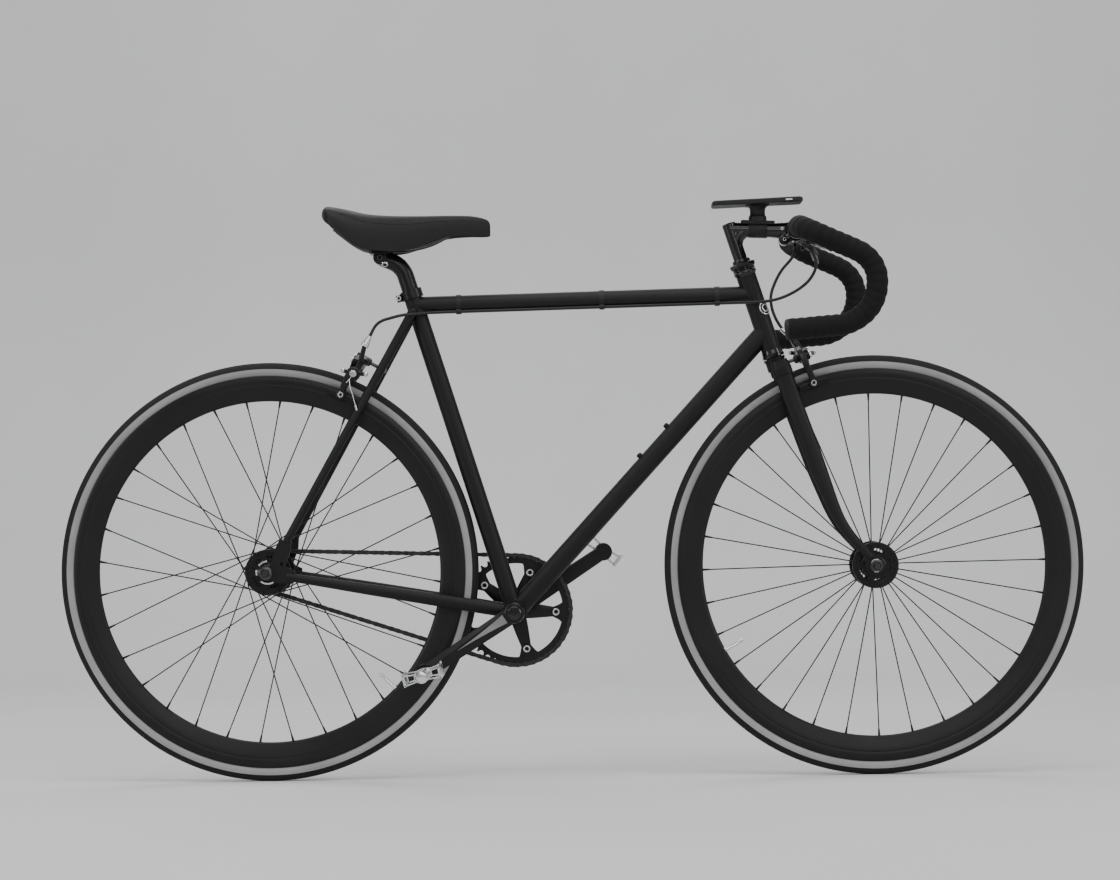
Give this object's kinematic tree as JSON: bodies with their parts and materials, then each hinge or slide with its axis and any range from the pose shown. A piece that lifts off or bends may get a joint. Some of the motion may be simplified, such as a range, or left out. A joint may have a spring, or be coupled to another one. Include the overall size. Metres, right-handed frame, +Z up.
{
  "type": "single-speed road bicycle",
  "caption": "Black single-speed road bicycle with drop handlebars, deep rims, rim brakes, and steering, wheels, cranks and pedals that turn.",
  "frame": {"origin": "the rider's place: top of the saddle, on the bicycle's mid-plane", "axes": "+X forward, +Y the rider's left, where the chain drive is, +Z up; the wheels touch the ground 0.905 m below the origin"},
  "size_m": [1.642, 0.434, 0.9263],
  "materials": {
    "frame_paint": "gloss black paint",
    "black_metal": "black anodised, satin",
    "rim_black": "black anodised, satin, deep section",
    "spoke_black": "black stainless",
    "tyre_rubber": "black tread with grey sidewall",
    "saddle_cover": "black, fine grain",
    "bar_wrap": "black cork bar tape, matt",
    "black_plastic": "black, fine grain",
    "cable_housing": "black, smooth",
    "pad_rubber": "black, matt",
    "steel": "plated, bright",
    "chain_steel": "dark oiled steel",
    "pedal_metal": "silver, satin"
  },
  "bodies": {
    "frame": {"head_tube": "frame_paint", "headset_cups": "black_metal", "top_tube": "frame_paint", "down_tube": "frame_paint", "seat_tube": "frame_paint", "bottom_bracket": "frame_paint", "chain_stay_left": "frame_paint", "chain_stay_right": "frame_paint", "seat_stay_left": "frame_paint", "seat_stay_right": "frame_paint", "track_ends": "frame_paint", "seat_stay_bridge": "frame_paint", "seat_collar": "black_metal", "seat_post": "black_metal", "saddle_clamp": "black_metal", "saddle_rails": "steel", "saddle": "saddle_cover", "rear_brake": "black_metal", "rear_brake_pads": "pad_rubber", "rear_cable": "cable_housing", "rear_cable_loop": "cable_housing", "cable_clips": "black_plastic", "rear_axle": "steel", "chain": "chain_steel"},
    "steering": {"fork_crown": "frame_paint", "fork_blade_left": "frame_paint", "fork_blade_right": "frame_paint", "headset_nut": "black_metal", "stem": "black_metal", "handlebar": "black_metal", "bar_tape_left": "bar_wrap", "bar_tape_right": "bar_wrap", "bar_plugs": "black_plastic", "brake_lever_left": "black_metal", "brake_lever_right": "black_metal", "front_brake": "black_metal", "front_brake_pads": "pad_rubber", "front_cable": "cable_housing", "phone_mount": "black_plastic", "phone": "black_plastic", "front_axle": "steel"},
    "front_wheel": {"front_tyre": "tyre_rubber", "front_rim": "rim_black", "front_spokes": "spoke_black", "front_hub": "black_metal"},
    "rear_wheel": {"rear_tyre": "tyre_rubber", "rear_rim": "rim_black", "rear_spokes": "spoke_black", "rear_hub": "black_metal"},
    "freewheel": {"sprocket": "chain_steel"},
    "crankset": {"chainring": "black_metal", "crank_left": "black_metal", "crank_right": "black_metal", "crank_axle": "steel", "pedal_axles": "steel"},
    "pedal_left_body": {"pedal_left": "pedal_metal"},
    "pedal_right_body": {"pedal_right": "pedal_metal"}
  },
  "joints": [
    {"name": "steering", "type": "hinge", "parent": "frame", "child": "steering", "pos_m": [0.59423, 0, -0.22293], "axis": [-0.309, 0, 0.9511], "range_deg": [-75, 75], "deforming": ["rear_cable_loop"]},
    {"name": "front_wheel_spin", "type": "hinge", "parent": "steering", "child": "front_wheel", "pos_m": [0.75399, 0, -0.569], "axis": [0, 1, 0], "continuous": true},
    {"name": "rear_wheel_spin", "type": "hinge", "parent": "frame", "child": "rear_wheel", "pos_m": [-0.21601, 0, -0.569], "axis": [0, 1, 0], "continuous": true},
    {"name": "crank_spin", "type": "hinge", "parent": "frame", "child": "crankset", "pos_m": [0.17768, 0, -0.6375], "axis": [0, 1, 0], "continuous": true},
    {"name": "freewheel_spin", "type": "hinge", "parent": "frame", "child": "freewheel", "pos_m": [-0.21601, 0, -0.569], "axis": [0, 1, 0], "continuous": true},
    {"name": "pedal_left_spin", "type": "hinge", "parent": "crankset", "child": "pedal_left_body", "pos_m": [0.32025, 0.123, -0.54491], "axis": [0, 1, 0], "continuous": true},
    {"name": "pedal_right_spin", "type": "hinge", "parent": "crankset", "child": "pedal_right_body", "pos_m": [0.03511, -0.123, -0.73009], "axis": [0, 1, 0], "continuous": true}
  ],
  "couplings": [
    {"joint": "freewheel_spin", "follows": "crank_spin", "ratio": 2.75}
  ]
}
